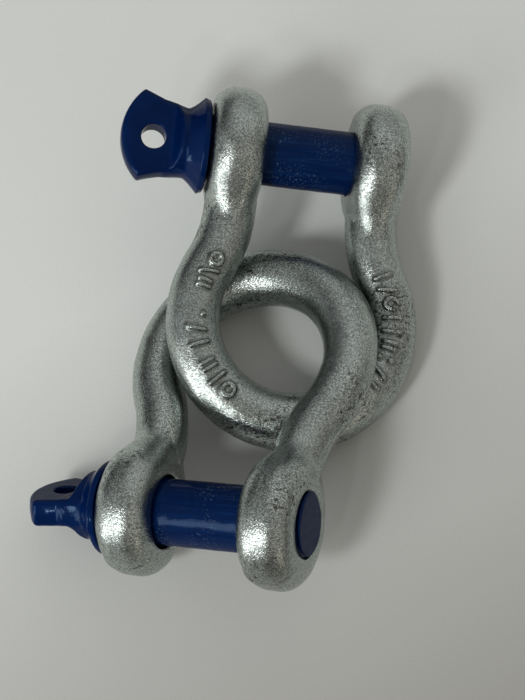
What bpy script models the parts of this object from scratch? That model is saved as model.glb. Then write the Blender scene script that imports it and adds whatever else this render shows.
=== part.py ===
"""Two linked screw-pin anchor shackles, 5/8 in size, lying on a flat surface.

Each shackle is a forged bow with two round ears and a screw pin with an eye tab.
The shackle's own frame has its origin in the middle of the jaw, on the pin's axis:
+X runs along the pin to its threaded end, -Y runs down to the crown of the bow,
and Z is square to the bow. Units are metres, angles in the tables are degrees.
"""
import math

import bmesh
import bpy
from mathutils import Euler, Vector

# Bow
BAR_RADIUS = 0.0078
CROWN_RADIUS = 0.0086            # bar radius at the bottom of the crown
LEG_X = 0.02125                  # from the jaw's middle to a leg's centreline at the ear
BOW_INSIDE_RADIUS = 0.0215
INSIDE_LENGTH = 0.0616           # from the pin's surface to the inside of the crown
NECK_RADIUS = 0.042              # the outward sweep between a leg and the bow
EAR_RADIUS = 0.01895
EAR_HALF_WIDTH = 0.0082
EAR_EDGE_RADIUS = 0.007
EAR_BLEND = 0.008                # how softly the leg widens into the ear
PLAIN_HOLE_RADIUS = 0.0104
THREADED_HOLE_RADIUS = 0.0098

# Screw pin
PIN_RADIUS = 0.009525
THREAD_RADIUS = 0.0095
THREAD_CHAMFER = 0.001
FIT_GAP = 0.0003                 # between pieces that meet face to face
HEAD_FACE_X = -0.0299            # the collar's face, beside the plain ear
SHANK_END_X = 0.0127
THREAD_END_X = 0.0291
COLLAR_RADIUS = 0.0138
COLLAR_WIDTH = 0.0018
COLLAR_EDGE = 0.0004
NECK_HALF_HEIGHT = 0.0103
NECK_X = -0.0367
TAB_END_X = -0.0557
TAB_CORNER_X = -0.0496
TAB_HALF_HEIGHT = 0.0137
TAB_HALF_THICKNESS = 0.00375
TAB_EDGE_RADIUS = 0.0012
TAB_FLAT_END_X = -0.0418         # where the flat tab starts to swell into the round neck
EYE_X = -0.0459
EYE_RADIUS = 0.0037
CONE_POWER = 1.5                 # how late the neck's cone flares into the collar
CORNER_SLIVER = 0.00002          # flat left between the corners of a ring that is nearly round

# Mesh density
BOW_RING_POINTS = 20
EAR_CAP_RINGS = 6
EAR_FOOT_RINGS = 8
SWEEP_RINGS = 5
CROWN_RINGS = 13
PIN_SIDES = 32
HEAD_CORNER_POINTS = 6
TAB_END_RINGS = 9
NECK_RINGS = 4
CONE_RINGS = 3
HOLE_SIDES = 32
SOLVER_STEPS = 30
SHARP_ANGLE = 40.0

# Looks: base colour, roughness and metallic value
ZINC_LOOK = ((0.52, 0.53, 0.51), 0.45, 0.9)
BLUE_LOOK = ((0.01, 0.045, 0.16), 0.3, 0.0)

# How the pair lies: each shackle's place and turns about X, Y and Z
UPPER_PLACE = Vector((0.0210, 0.0566, 0.0249))
UPPER_TURNS = (9.7, 13.8, -3.2)
LOWER_PLACE = Vector((-0.0064, -0.0531, 0.0252))
LOWER_TURNS = (170.4, -14.7, -10.7)
UPPER_TAB_ANGLE = 0.0            # the eye tab's turn about the pin, from the bow's plane
LOWER_TAB_ANGLE = -49.6
LINK_POINT = Vector((-0.0045, 0.0168, 0.0139))


def clear_scene():
    for item in list(bpy.data.objects):
        bpy.data.objects.remove(item, do_unlink=True)


def make_material(name, colour, roughness, metallic):
    material = bpy.data.materials.new(name)
    material.use_nodes = True
    shader = material.node_tree.nodes["Principled BSDF"]
    shader.inputs["Base Color"].default_value = (*colour, 1.0)
    shader.inputs["Roughness"].default_value = roughness
    shader.inputs["Metallic"].default_value = metallic
    return material


def make_object(name, mesh, material, parent):
    for polygon in mesh.polygons:
        polygon.use_smooth = True
    mesh.set_sharp_from_angle(angle=math.radians(SHARP_ANGLE))
    mesh.materials.append(material)
    item = bpy.data.objects.new(name, mesh)
    bpy.context.collection.objects.link(item)
    item.parent = parent
    return item


def make_empty(name, parent=None, place=(0.0, 0.0, 0.0), turns=(0.0, 0.0, 0.0)):
    empty = bpy.data.objects.new(name, None)
    bpy.context.collection.objects.link(empty)
    empty.parent = parent
    empty.location = place
    empty.rotation_euler = Euler([math.radians(turn) for turn in turns])
    return empty


def loft(name, rings, start_pole=None, end_pole=None):
    """Skin a list of rings, closing each end with a point or with a flat face."""
    mesh = bpy.data.meshes.new(name)
    builder = bmesh.new()
    loops = [[builder.verts.new(point) for point in ring] for ring in rings]
    count = len(loops[0])
    for lower, upper in zip(loops, loops[1:]):
        for i in range(count):
            j = (i + 1) % count
            builder.faces.new((lower[i], lower[j], upper[j], upper[i]))
    for loop, pole in ((loops[0], start_pole), (loops[-1], end_pole)):
        if pole is None:
            builder.faces.new(loop)
            continue
        tip = builder.verts.new(pole)
        for i in range(count):
            builder.faces.new((loop[i], loop[(i + 1) % count], tip))
    bmesh.ops.recalc_face_normals(builder, faces=builder.faces)
    builder.to_mesh(mesh)
    builder.free()
    return mesh


def lathe(name, profile, sides):
    """Turn a profile of (x, radius) points about X, with flat ends."""
    rings = []
    for x, radius in profile:
        angles = [2.0 * math.pi * i / sides for i in range(sides)]
        rings.append([Vector((x, radius * math.cos(a), radius * math.sin(a))) for a in angles])
    return loft(name, rings)


def drill(target, name, radius, start, end, parent):
    """Cut a round hole between two points, with a hidden cylinder as the cutter."""
    rings = []
    along = (end - start).normalized()
    side = along.orthogonal().normalized()
    other = along.cross(side)
    for centre in (start, end):
        angles = [2.0 * math.pi * i / HOLE_SIDES for i in range(HOLE_SIDES)]
        rings.append([centre + radius * (math.cos(a) * side + math.sin(a) * other) for a in angles])
    cutter = bpy.data.objects.new(name, loft(name, rings))
    bpy.context.collection.objects.link(cutter)
    cutter.parent = parent
    cutter.hide_render = True
    cutter.display_type = "WIRE"
    modifier = target.modifiers.new(name, "BOOLEAN")
    modifier.operation = "DIFFERENCE"
    modifier.solver = "EXACT"
    modifier.object = cutter


# ---------------------------------------------------------------- the forged bow

def smooth_step(value):
    value = min(max(value, 0.0), 1.0)
    return value * value * (3.0 - 2.0 * value)


def smooth_max(first, second, blend):
    if blend <= 0.0:
        return max(first, second)
    overlap = max(blend - abs(first - second), 0.0) / blend
    return max(first, second) + overlap * overlap * blend / 4.0


def ear_rim(x):
    """Radius of the ear's rounded disc at a distance x from its middle plane."""
    past_flat = abs(x) - (EAR_HALF_WIDTH - EAR_EDGE_RADIUS)
    if past_flat <= 0.0:
        return EAR_RADIUS
    if past_flat >= EAR_EDGE_RADIUS:
        return 0.0
    return EAR_RADIUS - EAR_EDGE_RADIUS + math.sqrt(EAR_EDGE_RADIUS ** 2 - past_flat ** 2)


def ear_reach(y, x_share, z_share):
    """How far the ear's disc reaches from the leg's centreline in one direction."""
    low = 0.0
    high = 2.0 * EAR_RADIUS
    if abs(y) >= EAR_RADIUS:
        return 0.0
    for _ in range(SOLVER_STEPS):
        middle = (low + high) / 2.0
        inside = math.hypot(y, middle * z_share) < ear_rim(middle * x_share)
        low, high = (middle, high) if inside else (low, middle)
    return low


def ear_ring(y):
    """One section through an ear and the top of its leg, square to the leg."""
    edge = max(abs(y) - (EAR_RADIUS - EAR_EDGE_RADIUS), 0.0)
    rounding = EAR_EDGE_RADIUS - math.sqrt(max(EAR_EDGE_RADIUS ** 2 - edge ** 2, 0.0))
    half_x = EAR_HALF_WIDTH - rounding
    half_z = math.sqrt(max(EAR_RADIUS ** 2 - y * y, 0.0))
    leg = BAR_RADIUS * smooth_step(-y / (EAR_RADIUS - EAR_EDGE_RADIUS))
    if y < 0.0:
        half_x = max(half_x, BAR_RADIUS)
        half_z = max(half_z, BAR_RADIUS)
    ring = []
    for i in range(BOW_RING_POINTS):
        turn = 2.0 * math.pi * i / BOW_RING_POINTS
        direction = Vector((half_x * math.cos(turn), half_z * math.sin(turn))).normalized()
        blend = EAR_BLEND * direction.y ** 2
        if y >= 0.0:
            reach = ear_reach(y, *direction)
        else:
            reach = smooth_max(ear_reach(y, *direction), leg, blend)
        ring.append(Vector((LEG_X + reach * direction.x, y, reach * direction.y)))
    return ring


def bar_ring(centre, outward, radius):
    """A round section of the bar; outward is the in-plane direction away from the bow's inside."""
    ring = []
    for i in range(BOW_RING_POINTS):
        turn = 2.0 * math.pi * i / BOW_RING_POINTS
        offset = outward * math.cos(turn) + Vector((0.0, 0.0, 1.0)) * math.sin(turn)
        ring.append(centre + offset * radius)
    return ring


def half_bow_rings():
    """Rings from the top of the right ear, down its leg and round to the middle of the crown."""
    bow_radius = BOW_INSIDE_RADIUS + BAR_RADIUS
    bow_y = -(PIN_RADIUS + INSIDE_LENGTH - BOW_INSIDE_RADIUS)
    neck_x = LEG_X + NECK_RADIUS
    rise = math.sqrt((bow_radius - LEG_X) * (bow_radius + LEG_X + 2.0 * NECK_RADIUS))
    neck_y = bow_y + rise
    meeting = math.atan2(rise, neck_x)
    rings = []
    for i in range(1, EAR_CAP_RINGS + 1):
        rings.append(ear_ring(EAR_RADIUS * math.cos(0.5 * math.pi * i / EAR_CAP_RINGS)))
    for i in range(1, EAR_FOOT_RINGS + 1):
        rings.append(ear_ring(neck_y * i / EAR_FOOT_RINGS))
    for i in range(1, SWEEP_RINGS + 1):
        angle = math.pi + meeting * i / SWEEP_RINGS
        spoke = Vector((math.cos(angle), math.sin(angle), 0.0))
        centre = Vector((neck_x, neck_y, 0.0)) + NECK_RADIUS * spoke
        rings.append(bar_ring(centre, -spoke, BAR_RADIUS))
    sweep = meeting + 0.5 * math.pi
    for i in range(1, CROWN_RINGS + 1):
        angle = meeting - sweep * i / CROWN_RINGS
        spoke = Vector((math.cos(angle), math.sin(angle), 0.0))
        swell = (CROWN_RADIUS - BAR_RADIUS) * max(-math.sin(angle), 0.0)
        centre = Vector((0.0, bow_y, 0.0)) + (bow_radius + swell) * spoke
        rings.append(bar_ring(centre, spoke, BAR_RADIUS + swell))
    return rings


def make_bow(prefix, parent, material):
    right = half_bow_rings()
    flipped = [[Vector((-p.x, p.y, p.z)) for p in ring] for ring in right[:-1]]
    right_top = Vector((LEG_X, EAR_RADIUS, 0.0))
    left_top = Vector((-LEG_X, EAR_RADIUS, 0.0))
    mesh = loft(prefix + "_bow", right + flipped[::-1], right_top, left_top)
    bow = make_object(prefix + "_bow", mesh, material, parent)
    outside = Vector((LEG_X + 2.0 * EAR_HALF_WIDTH, 0.0, 0.0))
    middle = Vector((0.0, 0.0, 0.0))
    drill(bow, prefix + "_plain_hole", PLAIN_HOLE_RADIUS, -outside, middle, parent)
    drill(bow, prefix + "_threaded_hole", THREADED_HOLE_RADIUS, middle, outside, parent)


# ---------------------------------------------------------------- the screw pin

def head_ring(x, half_height, half_thickness, corner):
    """A rounded rectangle across the pin; a corner as large as the half sizes makes a circle."""
    ring = []
    for quarter in range(4):
        side_y = 1.0 if quarter in (0, 3) else -1.0
        side_z = 1.0 if quarter in (0, 1) else -1.0
        for i in range(HEAD_CORNER_POINTS + 1):
            angle = 0.5 * math.pi * (quarter + i / HEAD_CORNER_POINTS)
            y = side_y * (half_height - corner) + corner * math.cos(angle)
            z = side_z * (half_thickness - corner) + corner * math.sin(angle)
            ring.append(Vector((x, y, z)))
    return ring


def head_rings():
    """Sections of the head, from the rounded end of the eye tab to the collar's face."""
    corner_step = TAB_CORNER_X - TAB_END_X
    end_radius = (TAB_HALF_HEIGHT ** 2 + corner_step ** 2) / (2.0 * corner_step)
    rings = []
    for i in range(1, TAB_END_RINGS + 1):
        height = TAB_HALF_HEIGHT * math.sin(0.5 * math.pi * i / TAB_END_RINGS)
        x = TAB_END_X + end_radius - math.sqrt(end_radius ** 2 - height ** 2)
        rings.append(head_ring(x, height, TAB_HALF_THICKNESS, TAB_EDGE_RADIUS))
    slope = (TAB_HALF_HEIGHT - NECK_HALF_HEIGHT) / (NECK_X - TAB_CORNER_X)
    height_at_flat_end = TAB_HALF_HEIGHT - slope * (TAB_FLAT_END_X - TAB_CORNER_X)
    rings.append(head_ring(TAB_FLAT_END_X, height_at_flat_end, TAB_HALF_THICKNESS, TAB_EDGE_RADIUS))
    for i in range(1, NECK_RINGS):
        share = i / NECK_RINGS
        x = TAB_FLAT_END_X + share * (NECK_X - TAB_FLAT_END_X)
        swell = smooth_step(share)
        thickness = TAB_HALF_THICKNESS + swell * (NECK_HALF_HEIGHT - TAB_HALF_THICKNESS)
        height = height_at_flat_end + share * (NECK_HALF_HEIGHT - height_at_flat_end)
        corner = TAB_EDGE_RADIUS + swell * (thickness - CORNER_SLIVER - TAB_EDGE_RADIUS)
        rings.append(head_ring(x, height, thickness, corner))
    cone_end_x = HEAD_FACE_X - COLLAR_WIDTH
    for i in range(CONE_RINGS):
        share = i / CONE_RINGS
        x = NECK_X + share * (cone_end_x - NECK_X)
        radius = NECK_HALF_HEIGHT + share ** CONE_POWER * (COLLAR_RADIUS - NECK_HALF_HEIGHT)
        rings.append(head_ring(x, radius, radius, radius - CORNER_SLIVER))
    for x, radius in (
        (cone_end_x, COLLAR_RADIUS - COLLAR_EDGE),
        (cone_end_x + COLLAR_EDGE, COLLAR_RADIUS),
        (HEAD_FACE_X - COLLAR_EDGE, COLLAR_RADIUS),
        (HEAD_FACE_X, COLLAR_RADIUS - COLLAR_EDGE),
    ):
        rings.append(head_ring(x, radius, radius, radius - CORNER_SLIVER))
    return rings


def make_pin(prefix, parent, material, tab_angle):
    pin_axis = make_empty(prefix + "_pin_axis", parent, turns=(tab_angle, 0.0, 0.0))
    head = make_object(prefix + "_pin_head", loft("head", head_rings()), material, pin_axis)
    reach = Vector((0.0, 0.0, 2.0 * TAB_HALF_THICKNESS))
    eye = Vector((EYE_X, 0.0, 0.0))
    drill(head, prefix + "_eye", EYE_RADIUS, eye - reach, eye + reach, pin_axis)
    shank = [(HEAD_FACE_X + FIT_GAP, PIN_RADIUS), (SHANK_END_X, PIN_RADIUS)]
    make_object(prefix + "_pin_shank", lathe("shank", shank, PIN_SIDES), material, pin_axis)
    thread = [
        (SHANK_END_X + FIT_GAP, THREAD_RADIUS),
        (THREAD_END_X - THREAD_CHAMFER, THREAD_RADIUS),
        (THREAD_END_X, THREAD_RADIUS - THREAD_CHAMFER),
    ]
    make_object(prefix + "_pin_thread", lathe("thread", thread, PIN_SIDES), material, pin_axis)


# ---------------------------------------------------------------- the linked pair

def stand_on_origin(pair):
    """Move the pair so that the origin is at the middle of the bottom of its box."""
    bpy.context.view_layer.update()
    graph = bpy.context.evaluated_depsgraph_get()
    points = []
    for item in bpy.data.objects:
        if item.type != "MESH" or item.hide_render:
            continue
        shape = item.evaluated_get(graph).to_mesh()
        points += [item.matrix_world @ vertex.co for vertex in shape.vertices]
    low = Vector([min(point[axis] for point in points) for axis in range(3)])
    high = Vector([max(point[axis] for point in points) for axis in range(3)])
    pair.location = Vector((-(low.x + high.x) / 2.0, -(low.y + high.y) / 2.0, -low.z))


def build():
    clear_scene()
    zinc = make_material("galvanised_steel", *ZINC_LOOK)
    blue = make_material("blue_paint", *BLUE_LOOK)
    pair = make_empty("linked_pair")
    upper = make_empty("upper_shackle", pair, UPPER_PLACE, UPPER_TURNS)
    link = make_empty("link_axis", pair, LINK_POINT)
    lower = make_empty("lower_shackle", link, LOWER_PLACE - LINK_POINT, LOWER_TURNS)
    make_bow("upper", upper, zinc)
    make_pin("upper", upper, blue, UPPER_TAB_ANGLE)
    make_bow("lower", lower, zinc)
    make_pin("lower", lower, blue, LOWER_TAB_ANGLE)
    stand_on_origin(pair)


build()
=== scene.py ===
"""Looks of two screw-pin anchor shackles linked bow through bow, on a pale surface.

Each shackle is described in its own frame, in millimetres: the origin is the middle of the
jaw, on the pin's axis, +X runs to the threaded ear, -Y down to the crown, and Z is square to
the bow. A shape is a field, below zero inside the metal, and its skin is built on the field's
zero level.
"""
import math

import bpy
import numpy as np
from mathutils import Euler, Matrix, Vector


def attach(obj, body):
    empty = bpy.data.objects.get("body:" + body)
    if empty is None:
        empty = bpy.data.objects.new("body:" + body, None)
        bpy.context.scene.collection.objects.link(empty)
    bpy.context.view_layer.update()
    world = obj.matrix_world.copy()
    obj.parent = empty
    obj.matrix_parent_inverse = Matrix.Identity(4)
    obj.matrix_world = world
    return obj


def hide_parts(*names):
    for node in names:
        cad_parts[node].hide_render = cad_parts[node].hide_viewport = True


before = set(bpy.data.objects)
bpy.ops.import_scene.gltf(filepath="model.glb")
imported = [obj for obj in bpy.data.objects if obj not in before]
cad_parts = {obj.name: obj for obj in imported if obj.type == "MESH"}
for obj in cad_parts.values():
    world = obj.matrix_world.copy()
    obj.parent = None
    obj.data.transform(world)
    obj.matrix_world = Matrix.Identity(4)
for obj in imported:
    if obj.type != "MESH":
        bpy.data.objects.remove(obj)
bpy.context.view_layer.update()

MM = 0.001

# Bow
NOMINAL_PIN_RADIUS = 9.525        # half of 3/4 in, where the inside length is measured from
BAR_RADIUS = 7.8
CROWN_RADIUS = 8.6
LEG_X = 21.25
BOW_INSIDE_RADIUS = 21.5
INSIDE_LENGTH = 61.6
SWEEP_RADIUS = 42.0
EAR_RADIUS = 18.95
EAR_HALF_WIDTH = 8.2
EAR_EDGE = 7.0
EAR_BLEND = 8.0
LEG_TOP_Y = -4.0
PLAIN_HOLE_RADIUS = 10.35
HOLE_EDGE = 0.9

# Forged skin
SKIN_ALLOWANCE = 0.18             # how far the skin stands inside the plain shape
FORGED_UNEVENNESS = 0.05
LINE_HEIGHT = 0.17                # the raised parting line of the dies
LINE_HEIGHT_SPREAD = 0.04
LINE_HALF_WIDTH = 1.2
LINE_SLOPE_WIDTH = 0.6
LINE_START_RADIUS = 12.0          # the line fades in this far out from the pin's axis
LINE_FADE_LENGTH = 4.0

# Raised marks, generic shapes only
MARK_HEIGHT = 0.8
MARK_STROKE = 0.62                # half the width of a stroke
MARK_FOOT = 0.5                   # share of a mark's height at the edge of its stroke
MARK_SLOPE_WIDTH = 0.45
RING_RADIUS = 1.7
BAR_HALF_LENGTH = 2.4
BAR_LEANS = {"|": 0.0, "/": 0.4, "x": -0.3}
PAIR_HALF_LENGTH = 1.7
PAIR_HALF_GAP = 0.95
DOT_RADIUS = 0.8
DOT_DROP = 2.2
COLON_RADIUS = 0.85
COLON_HALF_GAP = 1.7
NO_MARK = 9.0                     # a gap given where no mark is near
MARK_SHADE_REACH = 1.2                  # painted shade lies round a mark out to this gap
MARK_SHADE_FADE = 0.7
MARK_SHADE_OVERLAP = 0.2
MARK_SHADE_RISE = 0.4

# Screw pin
PIN_RADIUS = 9.5
HEAD_FACE_X = -29.9
THREAD_START_X = 12.7
COLLAR_RADIUS = 13.75
COLLAR_LIP = 1.7
WAIST_RADIUS = 9.8
WAIST_X = -36.2
TAB_END_X = -55.6
TAB_CORNER_X = -49.6
TAB_HALF_HEIGHT = 13.7
TAB_HALF_THICKNESS = 3.9
TAB_EDGE = 1.3
TAB_CROWN = 0.4
TAB_RAMP_X = -41.4
EYE_X = -45.9
EYE_RADIUS = 3.65
EYE_EDGE = 0.8
EYE_RISE_SHARE = 0.3              # how much of the head's rise the eye follows
TAB_FLARE_POWER = 1.35
COLLAR_FLARE_POWER = 1.3
OUTLINE_BLEND = 0.5               # where the tab's rounded end meets its sides
TAB_ROOT_DEPTH = 2.0              # the tab's skin stops this far short of the collar's face
RAMP_START_DROP = 1.0             # the ramp starts this far under the tab's flat
RAMP_RISE = 1.5                   # and ends at least this far past the waist
RAMP_PAST_WAIST = 1.0
NECK_BLEND = 2.5
NECK_START_BLEND = 1.0
HEAD_BLEND = 2.2
COLLAR_FACE_EDGE = 0.5
SHAFT_START_DEPTH = 1.0           # the shaft starts this far inside the collar
TIP_LENGTH = 1.0
TIP_START = 0.1
TIP_SLOPE = 0.6
PIN_END_EDGE = 0.4
NEAR_PIN_SKIN = 1.0
NEAR_BOW_SKIN = 2.0
PIN_SKIN_ALLOWANCE = 0.03
PIN_UNEVENNESS = 0.025

# Thread, 3/4 in, 10 turns to the inch
PITCH = 2.54
THREAD_SLOPE = math.sqrt(3.0)
THREAD_DEPTH = 1.45
HOLE_THREAD_RADIUS = 9.75
HOLE_THREAD_DEPTH = 1.25
HOLE_THREAD_FLAT = 0.11           # flat crests, as a share of the pitch
PIN_THREAD_FLAT = 0.0625
HOLE_MOUTH_RADIUS = 8.4
HOLE_MOUTH_DEPTH = 1.2

# How the pair lies: places in millimetres, turns in degrees
UPPER_PLACE = (21.0, 56.6, 24.9)
UPPER_TURNS = (9.7, 13.8, -3.2)
LOWER_PLACE = (-6.4, -53.1, 25.2)
LOWER_TURNS = (170.4, -14.7, -10.7)
PAIR_SHIFT = (3.804, -0.402, 0.196)
UPPER_TAB_ANGLE = 0.0             # the eye tab's turn about the pin, from the bow's plane
LOWER_TAB_ANGLE = -47.2
UPPER_HEAD_RISE = 1.2             # how far the tab stands off the pin's axis
LOWER_HEAD_RISE = 0.0
UPPER_HEAD_PULL = 0.0             # how much shorter the head is at the tab
LOWER_HEAD_PULL = 0.9
UPPER_PIN_END_X = 29.1
LOWER_PIN_END_X = 30.2

# Room, in metres and watts
DIM_ROOM = 0.012
SOFT_SIDE_EDGE = 0.5              # cosine of the angle where a soft side fades out
SOFT_SIDES = (                    # azimuth, elevation, colour
    (-155.0, 15.0, (0.44, 0.45, 0.45)),
    (-62.0, 28.0, (0.27, 0.255, 0.235)),
    (-10.0, 20.0, (0.22, 0.21, 0.20)),
    (60.0, 25.0, (0.40, 0.40, 0.39)),
    (110.0, 60.0, (0.18, 0.18, 0.18)),
    (0.0, 90.0, (0.18, 0.18, 0.175)),
)
WINDOW_PLACE = (-0.77, -1.00, 1.38)
WINDOW_SIZE = (0.28, 0.34)
WINDOW_WHITE = (0.97, 1.0, 0.99)
DAYLIGHT = (0.98, 1.0, 0.99)
WHITE = (1.0, 1.0, 1.0)
WARM = (1.0, 0.88, 0.70)
PAIR_CENTRE = (0.0, 0.0, 0.0)
LIGHTS = (                        # name, place, aimed at, size, power, colour, seen in gloss
    ("window", WINDOW_PLACE, PAIR_CENTRE, WINDOW_SIZE, 3.5, WINDOW_WHITE, True),
    ("window_matt", WINDOW_PLACE, PAIR_CENTRE, WINDOW_SIZE, 9.0, WINDOW_WHITE, False),
    ("middle_window", (-0.95, -1.01, 0.80), PAIR_CENTRE, (0.65, 0.5), 4.8, DAYLIGHT, True),
    ("low_window", (-1.37, -0.79, 0.22), PAIR_CENTRE, (0.5, 0.35), 4.3, DAYLIGHT, True),
    ("lamp", (-0.38, -1.13, 1.20), PAIR_CENTRE, (0.07, 0.07), 1.1, WHITE, True),
    ("warm_lamp", (1.05, -1.20, 0.02), (0.0, 0.0, 0.02), (0.25, 0.25), 0.6, WARM, True),
)
FLOOR_HALF_SIZE = 6.0
# the way the floor's painted shade deepens
FLOOR_NEAR_RIGHT = (0.42, -0.9, 0.0)

# Camera, solved from the photograph: places in millimetres in the unshifted pair's frame
CAMERA_PLACE = (49.582, -189.502, 523.515)
CAMERA_RIGHT = (0.99657, 0.0, -0.082748)
CAMERA_UP = (0.028767, 0.937624, 0.34646)
SENSOR_LONG_SIDE = 36.0           # spans the image's longer side, its height
IMAGE_LONG_SIDE = 700.0
FOCAL_PIXELS = 1852.58

# Skins
STEP = 0.48
PIN_STEP = 0.38
CHUNK = 400000                    # points sampled at a time
SLOPE_REACH = 0.06
SMALLEST_SLOPE_SQUARED = 0.05
PASSES = 3                        # onto the zero level, the last without evening out
SMOOTHING = 0.6


# ---------------------------------------------------------------- fields

def ease(value):
    value = np.clip(value, 0.0, 1.0)
    return value * value * (3.0 - 2.0 * value)


def soft_min(first, second, blend):
    overlap = np.maximum(blend - np.abs(first - second), 0.0) / blend
    return np.minimum(first, second) - overlap * overlap * blend / 4.0


def soft_max(first, second, blend):
    return -soft_min(-first, -second, blend)


def rounded(first, second, edge):
    """Both limits at once, with a round edge between them."""
    a = first + edge
    b = second + edge
    outside = np.hypot(np.maximum(a, 0.0), np.maximum(b, 0.0))
    return outside + np.minimum(np.maximum(a, b), 0.0) - edge


def waves(points, seed, count, shortest, longest):
    """Smooth unevenness, between about -1 and 1, from a few crossing waves."""
    chance = np.random.default_rng(seed)
    total = np.zeros(len(points))
    for _ in range(count):
        direction = chance.normal(size=3)
        direction /= np.linalg.norm(direction)
        length = shortest * (longest / shortest) ** chance.random()
        phase = chance.random() * 2.0 * math.pi
        total += np.sin(points @ (direction * 2.0 * math.pi / length) + phase)
    return total / math.sqrt(count)


def bow_lines():
    """Radius and middle of the crown, middle of the outward sweep, and where the two meet."""
    ring = BOW_INSIDE_RADIUS + BAR_RADIUS
    crown_y = -(NOMINAL_PIN_RADIUS + INSIDE_LENGTH - BOW_INSIDE_RADIUS)
    sweep_x = LEG_X + SWEEP_RADIUS
    rise = math.sqrt((ring - LEG_X) * (ring + LEG_X + 2.0 * SWEEP_RADIUS))
    return ring, crown_y, sweep_x, crown_y + rise, math.atan2(rise, sweep_x)


RING, CROWN_Y, SWEEP_X, SWEEP_Y, MEETING = bow_lines()


def bar_field(x, y, z):
    """The round bar from ear to ear, and how far along it and out of the bow each point is."""
    side = np.abs(x)
    leg_y = np.clip(y, SWEEP_Y, LEG_TOP_Y)
    leg_out = side - LEG_X
    leg = np.sqrt(leg_out ** 2 + (y - leg_y) ** 2 + z ** 2) - BAR_RADIUS
    turn = np.clip(np.arctan2(SWEEP_Y - y, SWEEP_X - side), 0.0, MEETING)
    near_x = SWEEP_X - SWEEP_RADIUS * np.cos(turn)
    near_y = SWEEP_Y - SWEEP_RADIUS * np.sin(turn)
    sweep = np.sqrt((side - near_x) ** 2 + (y - near_y) ** 2 + z ** 2) - BAR_RADIUS
    sweep_out = SWEEP_RADIUS - np.hypot(side - SWEEP_X, y - SWEEP_Y)
    angle = np.clip(np.arctan2(y - CROWN_Y, side), -0.5 * math.pi, MEETING)
    swell = (CROWN_RADIUS - BAR_RADIUS) * np.maximum(-np.sin(angle), 0.0)
    reach = RING + swell
    crown_side = side - reach * np.cos(angle)
    crown_rise = y - CROWN_Y - reach * np.sin(angle)
    crown = np.sqrt(crown_side ** 2 + crown_rise ** 2 + z ** 2)
    crown -= BAR_RADIUS + swell
    crown_out = np.hypot(side, y - CROWN_Y) - reach
    bar = np.minimum(np.minimum(leg, sweep), crown)
    along = np.where(leg <= bar, -leg_y, -SWEEP_Y + SWEEP_RADIUS * turn)
    along_crown = -SWEEP_Y + SWEEP_RADIUS * MEETING + RING * (MEETING - angle)
    along = np.where(crown <= bar, along_crown, along)
    out = np.where(leg <= bar, leg_out, sweep_out)
    out = np.where(crown <= bar, crown_out, out)
    return bar, along, out


def thread_wave(x, angle, flat):
    """How deep a 60 degree thread has fallen from its crest, in millimetres."""
    share = x / PITCH - angle / (2.0 * math.pi)
    share = np.abs(share - np.round(share))
    return np.maximum(share - flat, 0.0) * PITCH * THREAD_SLOPE


def mark_gap(along, across, rows):
    """Distance to plain bars, rings and dots in rows along the bar, below zero on a mark."""
    nearest = np.full(len(along), NO_MARK)
    for start, middle, pitch, pattern in rows:
        for place, kind in enumerate(pattern):
            u = along - start - pitch * place
            v = across - middle
            if kind == "o":
                gap = np.abs(np.hypot(u, v) - RING_RADIUS) - MARK_STROKE
            elif kind == ".":
                gap = np.hypot(u, v + DOT_DROP) - DOT_RADIUS
            elif kind == ":":
                gap = np.hypot(u, np.abs(v) - COLON_HALF_GAP) - COLON_RADIUS
            elif kind == "=":
                past_end = np.maximum(np.abs(v) - PAIR_HALF_LENGTH, 0.0)
                gap = np.hypot(np.abs(u) - PAIR_HALF_GAP, past_end) - MARK_STROKE
            else:
                past_end = np.maximum(np.abs(v) - BAR_HALF_LENGTH, 0.0)
                gap = np.hypot(u - BAR_LEANS[kind] * v, past_end) - MARK_STROKE
            nearest = np.minimum(nearest, gap)
    return nearest


def gap_of_marks(points, marks):
    """The same distance, for points near the skin of a bow that may have marks."""
    along, out = bar_field(*points.T)[1:]
    around = np.arctan2(out, points[:, 2]) * BAR_RADIUS
    gap = np.full(len(points), NO_MARK)
    for mark_side, rows in marks.items():
        picked = (points[:, 0] * mark_side > 0.0) & (points[:, 2] > 0.0)
        gap[picked] = mark_gap(along[picked], around[picked], rows)
    return gap


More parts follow.
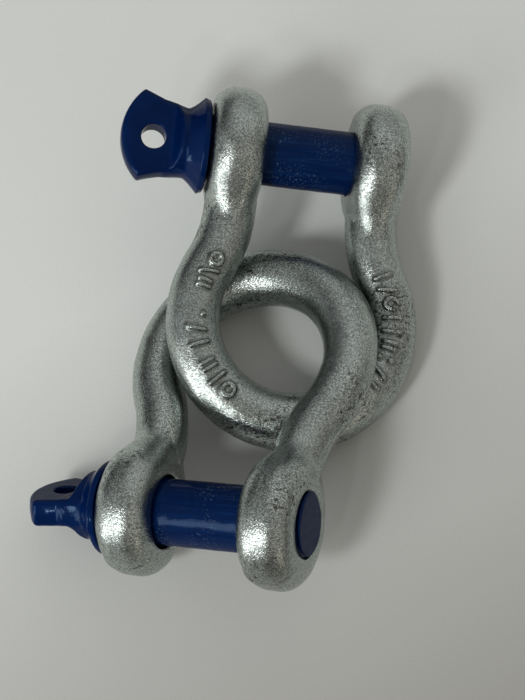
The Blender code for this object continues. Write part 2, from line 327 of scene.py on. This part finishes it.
def bow_field(points, marks, seed):
    """One bow: bar and ears in one skin, with the parting line, marks and both holes."""
    x, y, z = points.T
    bar = bar_field(x, y, z)[0]
    from_axis = np.hypot(y, z)
    off = np.abs(x) - LEG_X
    ear = rounded(from_axis - EAR_RADIUS, np.abs(off) - EAR_HALF_WIDTH, EAR_EDGE)
    blend = EAR_BLEND * z ** 2 / (off ** 2 + z ** 2 + 0.01) + 0.01
    body = soft_min(ear, bar, blend)
    near = np.abs(body) < NEAR_BOW_SKIN
    skin = body[near]
    inner = points[near]
    inner_from_axis = np.hypot(inner[:, 1], inner[:, 2])
    line_fade = ease((inner_from_axis - LINE_START_RADIUS) / LINE_FADE_LENGTH)
    line = ease((LINE_HALF_WIDTH - np.abs(inner[:, 2])) / LINE_SLOPE_WIDTH) * line_fade
    line *= LINE_HEIGHT + LINE_HEIGHT_SPREAD * waves(inner, seed + 1, 4, 9.0, 30.0)
    lift = np.maximum(line, 0.0)
    if marks:
        lift += MARK_HEIGHT * ease(MARK_FOOT - gap_of_marks(inner, marks) / MARK_SLOPE_WIDTH)
    uneven = FORGED_UNEVENNESS * waves(inner, seed, 12, 5.0, 16.0) - SKIN_ALLOWANCE
    body[near] = skin - lift - uneven
    plain = from_axis - PLAIN_HOLE_RADIUS
    wave = thread_wave(x, np.arctan2(z, y), HOLE_THREAD_FLAT)
    sink = np.maximum(np.abs(off) - EAR_HALF_WIDTH + HOLE_MOUTH_DEPTH, 0.0)
    thread = HOLE_THREAD_RADIUS - np.minimum(wave, HOLE_THREAD_DEPTH)
    threaded = from_axis - np.maximum(thread, HOLE_MOUTH_RADIUS + sink)
    hole = np.where(x < 0.0, plain, threaded)
    return soft_max(body, -hole, HOLE_EDGE)


def head_reach(x):
    """Half height of the head's outline, from the tab's corner past the waist to the collar."""
    to_waist = np.clip((x - TAB_CORNER_X) / (WAIST_X - TAB_CORNER_X), 0.0, 1.0)
    tab_flare = (1.0 - to_waist) ** TAB_FLARE_POWER
    tab = WAIST_RADIUS + (TAB_HALF_HEIGHT - WAIST_RADIUS) * tab_flare
    flare = np.clip((x - WAIST_X) / (HEAD_FACE_X - COLLAR_LIP - WAIST_X), 0.0, 1.0)
    return tab + (COLLAR_RADIUS - WAIST_RADIUS) * flare ** COLLAR_FLARE_POWER


def pin_field(points, tab_angle, head_rise, head_pull, end_x, seed):
    """One screw pin, from the eye tab through neck and collar to the threaded end."""
    x, y, z = points.T
    from_axis = np.hypot(y, z)
    shaft_x = x
    out = np.clip((HEAD_FACE_X - x) / (HEAD_FACE_X - TAB_CORNER_X), 0.0, 1.0)
    head_y = y - head_rise * ease(out)
    x = x - head_pull * out
    reach = head_reach(x)
    step = TAB_CORNER_X - TAB_END_X
    end_radius = (TAB_HALF_HEIGHT ** 2 + step ** 2) / (2.0 * step)
    end = np.hypot(x - TAB_END_X - end_radius, head_y) - end_radius
    crowned = TAB_CROWN * (z / TAB_HALF_THICKNESS) ** 2
    outline = soft_max(np.abs(head_y) - reach, end, OUTLINE_BLEND)
    outline += np.minimum(crowned, 2.0 * TAB_CROWN)
    tab = rounded(outline, np.abs(z) - TAB_HALF_THICKNESS, TAB_EDGE)
    tab = np.maximum(tab, shaft_x - HEAD_FACE_X + TAB_ROOT_DEPTH)
    up_ramp = ease((x - TAB_RAMP_X) / (WAIST_X - TAB_RAMP_X + RAMP_PAST_WAIST))
    ramp = TAB_HALF_THICKNESS - RAMP_START_DROP + (WAIST_RADIUS + RAMP_RISE) * up_ramp
    neck = soft_max(np.hypot(head_y, z) - reach, np.abs(z) - ramp, NECK_BLEND)
    neck = rounded(neck, shaft_x - HEAD_FACE_X, COLLAR_FACE_EDGE)
    neck = soft_max(neck, TAB_RAMP_X - x, NECK_START_BLEND)
    head = soft_min(tab, neck, HEAD_BLEND)
    eye = EYE_RADIUS - np.hypot(x - EYE_X, y - EYE_RISE_SHARE * head_rise)
    head = soft_max(head, eye, EYE_EDGE)
    angle = np.arctan2(z, y) + math.radians(tab_angle)
    cut = ease((shaft_x - THREAD_START_X) / PITCH)
    wave = np.minimum(thread_wave(shaft_x, angle, PIN_THREAD_FLAT), THREAD_DEPTH) * cut
    tip = np.maximum(shaft_x - end_x + TIP_LENGTH, 0.0)
    tip_radius = PIN_RADIUS + TIP_START - TIP_SLOPE * tip
    shaft = from_axis - np.minimum(PIN_RADIUS - wave, tip_radius)
    shaft = soft_max(shaft, shaft_x - end_x, PIN_END_EDGE)
    shaft = np.maximum(shaft, HEAD_FACE_X - SHAFT_START_DEPTH - shaft_x)
    body = np.minimum(head, shaft)
    near = np.abs(body) < NEAR_PIN_SKIN
    body[near] -= PIN_UNEVENNESS * waves(points[near], seed, 10, 3.0, 12.0) - PIN_SKIN_ALLOWANCE
    return body


# ---------------------------------------------------------------- skins

def sample(field, points):
    """The field's values, a chunk of points at a time to spare memory."""
    parts = [field(points[i:i + CHUNK]) for i in range(0, len(points), CHUNK)]
    return np.concatenate(parts)


def slope(field, points):
    columns = []
    for axis in range(3):
        offset = np.zeros(3)
        offset[axis] = SLOPE_REACH
        change = sample(field, points + offset) - sample(field, points - offset)
        columns.append(change / (2.0 * SLOPE_REACH))
    return np.stack(columns, axis=1)


def pull(field, points, limit):
    """Move points along the field's slope onto its zero level."""
    gradient = slope(field, points)
    size = np.maximum((gradient ** 2).sum(axis=1), SMALLEST_SLOPE_SQUARED)
    move = sample(field, points)[:, None] * gradient / size[:, None]
    length = np.linalg.norm(move, axis=1)
    move *= np.minimum(1.0, limit / np.maximum(length, 1e-9))[:, None]
    return points - move, gradient / np.sqrt(size)[:, None]


def skin_of(field, low, high, step):
    """A closed skin of quads on the zero level of a field, by surface nets."""
    counts = [int(math.ceil((high[k] - low[k]) / step)) + 1 for k in range(3)]
    axes = [low[k] + step * np.arange(counts[k]) for k in range(3)]
    value = np.empty(counts, np.float32)
    plane = np.stack(np.meshgrid(axes[1], axes[2], indexing="ij"), axis=-1).reshape(-1, 2)
    rows = max(1, CHUNK // len(plane))
    for i in range(0, counts[0], rows):
        level = axes[0][i:i + rows]
        block = np.empty((len(level), len(plane), 3))
        block[:, :, 0] = level[:, None]
        block[:, :, 1:] = plane
        shape = (len(level), counts[1], counts[2])
        value[i:i + rows] = field(block.reshape(-1, 3)).reshape(shape)
    inside = value < 0.0
    corners = [(a, b, c) for a in (0, 1) for b in (0, 1) for c in (0, 1)]
    cells = tuple(n - 1 for n in counts)
    total = np.zeros(cells, np.int8)
    for a, b, c in corners:
        total += inside[a:a + cells[0], b:b + cells[1], c:c + cells[2]]
    active = (total > 0) & (total < 8)
    spot = np.argwhere(active)
    number = np.full(cells, -1, np.int32)
    number[active] = np.arange(len(spot))
    edge_sum = np.zeros((len(spot), 3))
    edge_count = np.zeros(len(spot))
    for first in corners:
        for axis in range(3):
            if first[axis]:
                continue
            second = tuple(first[k] + (k == axis) for k in range(3))
            a = value[tuple(spot[:, k] + first[k] for k in range(3))].astype(float)
            b = value[tuple(spot[:, k] + second[k] for k in range(3))].astype(float)
            crossed = (a < 0.0) != (b < 0.0)
            share = np.where(crossed, a / np.where(crossed, a - b, 1.0), 0.0)
            place = np.array(first, float) + share[:, None] * (np.arange(3) == axis)
            edge_sum += place * crossed[:, None]
            edge_count += crossed
    start = np.array([axes[k][0] for k in range(3)])
    points = start + step * (spot + edge_sum / edge_count[:, None])
    quads = []
    for axis in range(3):
        b_axis, c_axis = (axis + 1) % 3, (axis + 2) % 3
        low_cut = [slice(1, -1)] * 3
        high_cut = [slice(1, -1)] * 3
        low_cut[axis] = slice(0, -1)
        high_cut[axis] = slice(1, None)
        starts = inside[tuple(low_cut)]
        ends = inside[tuple(high_cut)]
        for outward, wanted in ((True, starts & ~ends), (False, ends & ~starts)):
            base = np.argwhere(wanted)
            loop = []
            for db, dc in ((0, 0), (1, 0), (1, 1), (0, 1)):
                corner = base.copy()
                corner[:, b_axis] += db
                corner[:, c_axis] += dc
                loop.append(number[tuple(corner.T)])
            quad = np.stack(loop if outward else loop[::-1], axis=1)
            quads.append(quad)
    quads = np.concatenate(quads)
    ends = np.concatenate([quads, np.roll(quads, -1, axis=1)], axis=1).reshape(-1, 2, 4)
    one, two = ends[:, 0].ravel(), ends[:, 1].ravel()
    degree = np.bincount(one, minlength=len(points)) + np.bincount(two, minlength=len(points))
    for pass_number in range(PASSES):
        points, normal = pull(field, points, step)
        if pass_number < PASSES - 1:
            mean = np.zeros_like(points)
            for axis in range(3):
                mean[:, axis] = np.bincount(one, points[two, axis], len(points))
                mean[:, axis] += np.bincount(two, points[one, axis], len(points))
            shift = mean / degree[:, None] - points
            points += SMOOTHING * (shift - (shift * normal).sum(axis=1)[:, None] * normal)
    points, normal = pull(field, points, step)
    return points, quads


def make_piece(name, points, quads, place, material):
    """A smooth shaded object from points in a shackle's frame."""
    turned = np.array(place, float)
    world = points @ turned[:3, :3].T * MM + turned[:3, 3]
    mesh = bpy.data.meshes.new(name)
    mesh.vertices.add(len(world))
    mesh.vertices.foreach_set("co", world.astype(np.float32).ravel())
    mesh.loops.add(quads.size)
    mesh.loops.foreach_set("vertex_index", quads.ravel().astype(np.int32))
    mesh.polygons.add(len(quads))
    mesh.polygons.foreach_set("loop_start", np.arange(0, quads.size, 4, dtype=np.int32))
    mesh.update(calc_edges=True)
    mesh.validate()
    mesh.shade_smooth()
    mesh.materials.append(material)
    piece = bpy.data.objects.new(name, mesh)
    bpy.context.collection.objects.link(piece)
    return piece


# ---------------------------------------------------------------- materials

def node_material(name):
    material = bpy.data.materials.new(name)
    material.use_nodes = True
    tree = material.node_tree
    return material, tree, tree.nodes["Principled BSDF"]


def add_node(tree, kind, **values):
    node = tree.nodes.new(kind)
    for key, value in values.items():
        if key in node.inputs:
            node.inputs[key].default_value = value
        else:
            setattr(node, key, value)
    return node


def add_noise(tree, place, scale, detail, roughness):
    node = add_node(tree, "ShaderNodeTexNoise")
    node.inputs["Scale"].default_value = scale
    node.inputs["Detail"].default_value = detail
    node.inputs["Roughness"].default_value = roughness
    tree.links.new(place, node.inputs["Vector"])
    return node.outputs["Fac"]


def add_ramp(tree, source, stops):
    node = add_node(tree, "ShaderNodeValToRGB")
    while len(node.color_ramp.elements) < len(stops):
        node.color_ramp.elements.new(0.5)
    for element, (position, colour) in zip(node.color_ramp.elements, stops):
        element.position = position
        element.color = (*colour, 1.0)
    tree.links.new(source, node.inputs["Fac"])
    return node.outputs["Color"]


def add_range(tree, source, low, high, to_low, to_high):
    node = add_node(tree, "ShaderNodeMapRange")
    node.inputs["From Min"].default_value = low
    node.inputs["From Max"].default_value = high
    node.inputs["To Min"].default_value = to_low
    node.inputs["To Max"].default_value = to_high
    tree.links.new(source, node.inputs["Value"])
    return node.outputs["Result"]


def multiply(tree, first, second):
    node = add_node(tree, "ShaderNodeMath", operation="MULTIPLY")
    tree.links.new(first, node.inputs[0])
    tree.links.new(second, node.inputs[1])
    return node.outputs["Value"]


def add_dot(tree, source, direction):
    """How far a point or way runs along one direction."""
    node = add_node(tree, "ShaderNodeVectorMath", operation="DOT_PRODUCT")
    node.inputs[1].default_value = direction
    tree.links.new(source, node.inputs[0])
    return node.outputs["Value"]


def add_bump(tree, height, distance, strength, before=None):
    node = add_node(tree, "ShaderNodeBump")
    node.inputs["Strength"].default_value = strength
    node.inputs["Distance"].default_value = distance
    tree.links.new(height, node.inputs["Height"])
    if before is not None:
        tree.links.new(before, node.inputs["Normal"])
    return node.outputs["Normal"]


def mix_colours(tree, share, first, second):
    node = add_node(tree, "ShaderNodeMix")
    node.data_type = "RGBA"
    tree.links.new(share, node.inputs["Factor"])
    tree.links.new(first, node.inputs["A"])
    tree.links.new(second, node.inputs["B"])
    return node.outputs["Result"]


def zinc_material():
    """Hot-dip zinc on a forging: satin grey, sharply speckled, with small dark pits in patches."""
    material, tree, shader = node_material("galvanised_zinc")
    place = add_node(tree, "ShaderNodeTexCoord").outputs["Object"]
    cloud = add_noise(tree, place, 110.0, 4.0, 0.6)
    grain = add_noise(tree, place, 1500.0, 2.0, 0.6)
    flecks = add_noise(tree, place, 3000.0, 1.0, 0.5)
    spots = add_noise(tree, place, 800.0, 2.0, 0.5)
    stain = add_noise(tree, place, 45.0, 2.0, 0.5)
    base = add_ramp(tree, cloud, [
        (0.3, (0.31, 0.345, 0.325)),
        (0.5, (0.39, 0.43, 0.41)),
        (0.7, (0.47, 0.515, 0.49)),
    ])
    coarse = add_ramp(tree, grain, [
        (0.36, (0.14, 0.155, 0.145)),
        (0.5, (0.38, 0.42, 0.40)),
        (0.64, (0.66, 0.71, 0.68)),
    ])
    sharp = add_ramp(tree, flecks, [
        (0.37, (0.05, 0.055, 0.05)),
        (0.5, (0.36, 0.40, 0.38)),
        (0.63, (0.76, 0.81, 0.785)),
    ])
    share = add_range(tree, cloud, 0.3, 0.7, 0.62, 0.42)
    speckle = mix_colours(tree, share, coarse, sharp)
    colour = mix_colours(tree, add_range(tree, stain, 0.35, 0.65, 0.6, 0.9), base, speckle)
    pit_depth = add_range(tree, spots, 0.37, 0.43, 1.0, 0.0)
    pit_place = add_range(tree, stain, 0.54, 0.62, 0.05, 1.0)
    pit = multiply(tree, pit_depth, pit_place)
    dark = add_ramp(tree, cloud, [(0.0, (0.05, 0.05, 0.045)), (1.0, (0.12, 0.12, 0.11))])
    pitted = mix_colours(tree, pit, colour, dark)
    # painted shade: the zinc darkens round the foot of each raised mark
    mark_shade = add_node(tree, "ShaderNodeAttribute", attribute_name="mark_shade").outputs["Fac"]
    mark_shade_share = add_range(tree, mark_shade, 0.0, 1.0, 0.0, 0.52)
    tree.links.new(mix_colours(tree, mark_shade_share, pitted, dark), shader.inputs["Base Color"])
    rough = add_range(tree, cloud, 0.3, 0.7, 0.19, 0.28)
    tree.links.new(rough, shader.inputs["Roughness"])
    shader.inputs["Metallic"].default_value = 1.0
    lumps = add_bump(tree, cloud, 0.0003, 0.3)
    fine = add_bump(tree, grain, 0.00016, 0.6, lumps)
    tree.links.new(add_bump(tree, flecks, 0.00008, 0.5, fine), shader.inputs["Normal"])
    return material


def paint_material(name, stand):
    """Dark blue gloss enamel, slightly uneven, with fine marks drawn along the shank."""
    material, tree, shader = node_material(name)
    place = add_node(tree, "ShaderNodeTexCoord").outputs["Object"]
    own = add_node(tree, "ShaderNodeMapping", vector_type="TEXTURE")
    own.inputs["Location"].default_value = stand.to_translation()
    own.inputs["Rotation"].default_value = stand.to_euler()
    tree.links.new(place, own.inputs["Vector"])
    drawn = add_node(tree, "ShaderNodeMapping")
    drawn.inputs["Scale"].default_value = (0.06, 1.0, 1.0)
    tree.links.new(own.outputs["Vector"], drawn.inputs["Vector"])
    split = add_node(tree, "ShaderNodeSeparateXYZ")
    tree.links.new(own.outputs["Vector"], split.inputs["Vector"])
    on_shank = add_range(tree, split.outputs["X"], -0.0300, -0.0290, 0.0, 1.0)
    cloud = add_noise(tree, place, 90.0, 3.0, 0.55)
    peel = add_noise(tree, place, 420.0, 2.0, 0.5)
    dust = add_noise(tree, place, 1500.0, 2.0, 0.6)
    streak = add_noise(tree, drawn.outputs["Vector"], 1300.0, 3.0, 0.6)
    base = add_ramp(tree, cloud, [(0.35, (0.0002, 0.0070, 0.046)), (0.65, (0.0004, 0.0100, 0.060))])
    worn = add_ramp(tree, dust, [(0.0, (0.03, 0.06, 0.12)), (1.0, (0.10, 0.14, 0.20))])
    patch = add_noise(tree, place, 70.0, 1.0, 0.5)
    grains = add_range(tree, dust, 0.58, 0.70, 0.0, 1.0)
    share = multiply(tree, grains, add_range(tree, patch, 0.47, 0.62, 0.05, 0.8))
    rubbed = add_ramp(tree, streak, [
        (0.0, (0.0003, 0.0045, 0.028)),
        (0.5, (0.0004, 0.0095, 0.054)),
        (1.0, (0.004, 0.030, 0.112)),
    ])
    speckled = mix_colours(tree, share, rubbed, worn)
    half = add_range(tree, on_shank, 0.0, 1.0, 0.0, 0.8)
    tree.links.new(mix_colours(tree, half, base, speckled), shader.inputs["Base Color"])
    rough = add_range(tree, cloud, 0.3, 0.7, 0.07, 0.13)
    tree.links.new(rough, shader.inputs["Roughness"])
    shader.inputs["IOR"].default_value = 1.36
    facing = add_node(tree, "ShaderNodeLayerWeight", Blend=0.5).outputs["Facing"]
    level = shader.inputs["Specular IOR Level"]
    level.default_value = 0.4  # the level kept where the link is dropped
    tree.links.new(add_range(tree, facing, 0.25, 0.75, 0.32, 0.03), level)
    shader.inputs["Specular Tint"].default_value = (0.42, 0.66, 1.0, 1.0)
    waves_of_paint = add_bump(tree, peel, 0.0002, 0.22)
    grooves = multiply(tree, streak, on_shank)
    drawn_marks = add_bump(tree, grooves, 0.00008, 0.5, waves_of_paint)
    tree.links.new(add_bump(tree, dust, 0.00003, 0.3, drawn_marks), shader.inputs["Normal"])
    return material


def floor_material():
    """Pale matt surface with painted shade: darker and a little warmer towards the near right, and
    painted dark far out there.
    """
    material, tree, shader = node_material("pale_surface")
    place = add_node(tree, "ShaderNodeTexCoord").outputs["Object"]
    cloud = add_noise(tree, place, 14.0, 3.0, 0.5)
    speck = add_noise(tree, place, 1700.0, 2.0, 0.6)
    even = add_ramp(tree, cloud, [(0.3, (0.74, 0.75, 0.725)), (0.7, (0.76, 0.77, 0.745))])
    paper = add_ramp(tree, speck, [(0.3, (0.71, 0.72, 0.695)), (0.7, (0.79, 0.80, 0.775))])
    base = mix_colours(tree, add_range(tree, cloud, 0.2, 0.8, 0.4, 0.6), even, paper)
    # painted shade: the floor darkens and warms towards the near right, and a painted dark zone
    # lies beyond that
    across = add_dot(tree, place, FLOOR_NEAR_RIGHT)
    near_shade_share = add_range(tree, across, -0.035, 0.21, 0.0, 1.0)
    far = add_range(tree, across, 0.22, 0.45, 0.0, 0.6)
    near_shade_colour = add_ramp(tree, speck, [(0.3, (0.170, 0.152, 0.137)), (0.7, (0.186, 0.168, 0.152))])
    far_shade_colour = add_ramp(tree, speck, [(0.3, (0.05, 0.046, 0.042)), (0.7, (0.06, 0.055, 0.05))])
    near = mix_colours(tree, near_shade_share, base, near_shade_colour)
    tree.links.new(mix_colours(tree, far, near, far_shade_colour), shader.inputs["Base Color"])
    shader.inputs["Roughness"].default_value = 0.6
    shader.inputs["Specular IOR Level"].default_value = 0.2
    return material


# ---------------------------------------------------------------- the pair

def placed(place, turns, shift):
    where = Matrix.Translation((Vector(place) + Vector(shift)) * MM)
    turned = Euler([math.radians(a) for a in turns]).to_matrix().to_4x4()
    return where @ turned


# Rows of marks by side of the bow: start along the bar, middle across it, pitch, pattern
UPPER_MARKS = {
    -1.0: [(35.6, -0.9, 4.0, "o/="), (53.2, 0.0, 4.4, ".x|"), (68.6, -0.2, 4.6, "=|o")],
    1.0: [(35.2, -0.9, 4.3, "|/o||=:/|")],
}
BOW_LOW = (-39.0, -90.0, -20.0)
BOW_HIGH = (39.0, 20.0, 20.0)
PIN_LOW = (-57.0, -15.0, -15.0)
PIN_HIGH = (31.5, 15.0, 15.0)


def make_bow(side_name, stand, marks, seed, zinc):
    """The visible bow, with painted shade round its marks, riding on its body."""
    def field(points):
        return bow_field(points, marks, seed)

    points, quads = skin_of(field, BOW_LOW, BOW_HIGH, STEP)
    bow = make_piece(side_name + "_forged_bow", points, quads, stand, zinc)
    # painted shade round the foot of each raised mark, kept on the skin's points
    gap = gap_of_marks(points, marks)
    painted_mark_shade = ease((MARK_SHADE_REACH - gap) / MARK_SHADE_FADE) * ease((gap + MARK_SHADE_OVERLAP) / MARK_SHADE_RISE)
    mark_shade = bow.data.attributes.new("mark_shade", "FLOAT", "POINT")
    mark_shade.data.foreach_set("value", painted_mark_shade.astype(np.float32))
    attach(bow, side_name + "_bow")
    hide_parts(side_name + "_bow")


def make_pin(side_name, stand, tab_angle, fit, seed):
    """The visible pin, riding on the body that turns; fit is head rise, head pull and end x."""
    def field(points):
        return pin_field(points, tab_angle, *fit, seed)

    points, quads = skin_of(field, PIN_LOW, PIN_HIGH, PIN_STEP)
    turned = stand @ Matrix.Rotation(math.radians(tab_angle), 4, "X")
    paint = paint_material(side_name + "_blue_enamel", turned)
    pin = make_piece(side_name + "_painted_pin", points, quads, turned, paint)
    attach(pin, side_name + "_pin_screw")
    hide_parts(side_name + "_pin_head", side_name + "_pin_shank", side_name + "_pin_thread")


zinc = zinc_material()

upper_stand = placed(UPPER_PLACE, UPPER_TURNS, PAIR_SHIFT)
upper_fit = (UPPER_HEAD_RISE, UPPER_HEAD_PULL, UPPER_PIN_END_X)
make_bow("upper", upper_stand, UPPER_MARKS, 11, zinc)
make_pin("upper", upper_stand, UPPER_TAB_ANGLE, upper_fit, 18)

lower_stand = placed(LOWER_PLACE, LOWER_TURNS, PAIR_SHIFT)
lower_fit = (LOWER_HEAD_RISE, LOWER_HEAD_PULL, LOWER_PIN_END_X)
make_bow("lower", lower_stand, {}, 41, zinc)
make_pin("lower", lower_stand, LOWER_TAB_ANGLE, lower_fit, 48)


# ---------------------------------------------------------------- surface, lights and camera

def make_floor():
    mesh = bpy.data.meshes.new("surface")
    half = FLOOR_HALF_SIZE
    corners = [(-half, -half, 0.0), (half, -half, 0.0), (half, half, 0.0), (-half, half, 0.0)]
    mesh.from_pydata(corners, [], [(0, 1, 2, 3)])
    mesh.materials.append(floor_material())
    item = bpy.data.objects.new("surface", mesh)
    bpy.context.collection.objects.link(item)


def area_light(name, place, target, size, power, colour, in_gloss):
    data = bpy.data.lights.new(name, "AREA")
    data.shape = "RECTANGLE"
    data.size, data.size_y = size
    data.energy = power
    data.color = colour
    item = bpy.data.objects.new(name, data)
    bpy.context.collection.objects.link(item)
    item.location = place
    item.rotation_euler = (Vector(target) - Vector(place)).to_track_quat("-Z", "Y").to_euler()
    item.visible_glossy = in_gloss


def make_world():
    """A dim room, softly lit from a few sides."""
    world = bpy.data.worlds.new("soft_room")
    bpy.context.scene.world = world
    world.use_nodes = True
    tree = world.node_tree
    way = tree.nodes.new("ShaderNodeTexCoord").outputs["Generated"]
    back = tree.nodes["Background"]
    back.inputs["Color"].default_value = (1.0, 1.0, 1.0, 1.0)
    back.inputs["Strength"].default_value = DIM_ROOM
    total = back.outputs["Background"]
    for azimuth, elevation, colour in SOFT_SIDES:
        a, e = math.radians(azimuth), math.radians(elevation)
        towards = (math.cos(a) * math.cos(e), math.sin(a) * math.cos(e), math.sin(e))
        lobe = tree.nodes.new("ShaderNodeMapRange")
        lobe.interpolation_type = "SMOOTHSTEP"
        lobe.inputs["From Min"].default_value = SOFT_SIDE_EDGE
        tree.links.new(add_dot(tree, way, towards), lobe.inputs["Value"])
        side = tree.nodes.new("ShaderNodeBackground")
        side.inputs["Color"].default_value = (*colour, 1.0)
        tree.links.new(lobe.outputs["Result"], side.inputs["Strength"])
        both = tree.nodes.new("ShaderNodeAddShader")
        tree.links.new(total, both.inputs[0])
        tree.links.new(side.outputs["Background"], both.inputs[1])
        total = both.outputs["Shader"]
    tree.links.new(total, tree.nodes["World Output"].inputs["Surface"])


def make_camera():
    data = bpy.data.cameras.new("view")
    item = bpy.data.objects.new("view", data)
    bpy.context.collection.objects.link(item)
    right = Vector(CAMERA_RIGHT)
    up = Vector(CAMERA_UP)
    back = right.cross(up)
    turn = Matrix((right, up, back)).transposed().to_4x4()
    place = (Vector(CAMERA_PLACE) + Vector(PAIR_SHIFT)) * MM
    item.matrix_world = Matrix.Translation(place) @ turn
    data.sensor_width = SENSOR_LONG_SIDE
    data.lens = SENSOR_LONG_SIDE * FOCAL_PIXELS / IMAGE_LONG_SIDE
    data.clip_start = 0.01
    data.clip_end = 20.0
    bpy.context.scene.camera = item


make_floor()
make_world()
for light in LIGHTS:
    area_light(*light)
make_camera()
bpy.context.scene.view_settings.view_transform = "Standard"
